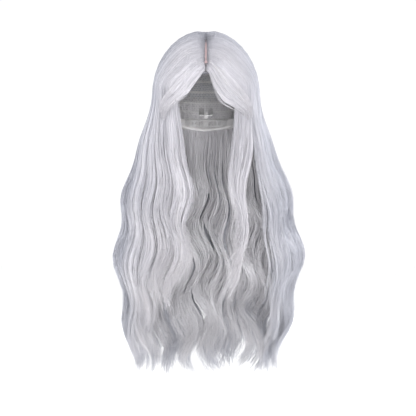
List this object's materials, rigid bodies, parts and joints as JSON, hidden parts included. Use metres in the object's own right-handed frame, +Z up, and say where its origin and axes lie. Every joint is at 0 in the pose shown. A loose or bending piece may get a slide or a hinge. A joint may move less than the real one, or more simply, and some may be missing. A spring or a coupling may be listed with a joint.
{
  "type": "costume wig",
  "caption": "Long wavy costume wig with a middle parting, curtain fringe, lace-front net cap, nape adjusters and snap combs.",
  "frame": {"origin": "the crown of the cap's inside, where the top of the head touches it", "axes": "+Z up along the head, -Y the way the wearer faces, +X the wearer's left"},
  "size_m": [0.3568, 0.2307, 0.6442],
  "materials": {
    "hair": "silver-white synthetic fibre with a soft sheen",
    "under_hair": "the same fibre in the wefts and the inner layer, shaded",
    "net": "off-white stretch net",
    "lace": "fine pale lace",
    "skin": "matte skin-toned film",
    "elastic": "woven elastic",
    "plastic": "smooth white plastic",
    "steel": "bent spring steel"
  },
  "bodies": {
    "cap": {"cap_net": "net", "lace_front": "lace", "parting_patch": "skin", "ear_tab_left": "net", "ear_stay_left": "plastic", "ear_tab_right": "net", "ear_stay_right": "plastic", "nape_band": "elastic", "weft_row_1": "under_hair", "weft_row_2": "under_hair", "weft_row_3": "under_hair", "weft_row_4": "under_hair", "weft_row_5": "under_hair", "weft_row_6": "under_hair", "loop_ladder": "elastic", "strap_casing_left": "net", "strap_casing_right": "net", "comb_tab_left": "elastic", "comb_tab_right": "elastic", "comb_tab_nape": "elastic", "face_lock_root_left": "hair", "face_lock_root_right": "hair", "side_lock_left_1": "hair", "side_lock_left_2": "hair", "side_lock_left_3": "hair", "side_lock_left_4": "hair", "back_lock_left_1": "hair", "back_lock_left_2": "hair", "back_lock_left_3": "hair", "back_lock_left_4": "hair", "back_lock_left_5": "hair", "side_lock_right_1": "hair", "side_lock_right_2": "hair", "side_lock_right_3": "hair", "side_lock_right_4": "hair", "side_lock_right_5": "hair", "back_lock_right_1": "hair", "back_lock_right_2": "hair", "back_lock_right_3": "hair", "back_lock_right_4": "hair", "back_lock_right_5": "hair", "under_side_left": "under_hair", "under_back_left": "under_hair", "under_nape_left": "under_hair", "under_side_right": "under_hair", "under_back_right": "under_hair", "under_nape_right": "under_hair", "fringe_left": "hair", "fringe_right": "hair"},
    "adjuster_left": {"adjuster_strap_left": "elastic", "adjuster_hook_left": "plastic"},
    "adjuster_right": {"adjuster_strap_right": "elastic", "adjuster_hook_right": "plastic"},
    "comb_left": {"comb_left": "steel"},
    "comb_right": {"comb_right": "steel"},
    "comb_nape": {"comb_nape": "steel"},
    "face_lock_left": {"face_lock_left": "hair"},
    "face_lock_right": {"face_lock_right": "hair"}
  },
  "joints": [
    {"name": "adjuster_left_tighten", "type": "hinge", "parent": "cap", "child": "adjuster_left", "pos_m": [0, 0.026, -0.155], "axis": [0, 0, 1], "range_deg": [0, 16]},
    {"name": "adjuster_right_tighten", "type": "hinge", "parent": "cap", "child": "adjuster_right", "pos_m": [0, 0.026, -0.155], "axis": [0, 0, -1], "range_deg": [0, 16]},
    {"name": "comb_left_open", "type": "hinge", "parent": "cap", "child": "comb_left", "pos_m": [0.0616, -0.0453, -0.084], "axis": [-0.4204, -0.9073, 0], "range_deg": [0, 40]},
    {"name": "comb_right_open", "type": "hinge", "parent": "cap", "child": "comb_right", "pos_m": [-0.0616, -0.0453, -0.084], "axis": [-0.4204, 0.9073, 0], "range_deg": [0, 40]},
    {"name": "comb_nape_open", "type": "hinge", "parent": "cap", "child": "comb_nape", "pos_m": [0, 0.08994, -0.138], "axis": [1, 0, 0], "range_deg": [0, 40]},
    {"name": "face_lock_left_lift", "type": "hinge", "parent": "cap", "child": "face_lock_left", "pos_m": [0.056, -0.082, -0.1605], "axis": [-1, 0, 0], "range_deg": [0, 20]},
    {"name": "face_lock_right_lift", "type": "hinge", "parent": "cap", "child": "face_lock_right", "pos_m": [-0.056, -0.082, -0.1605], "axis": [-1, 0, 0], "range_deg": [0, 20]}
  ]
}
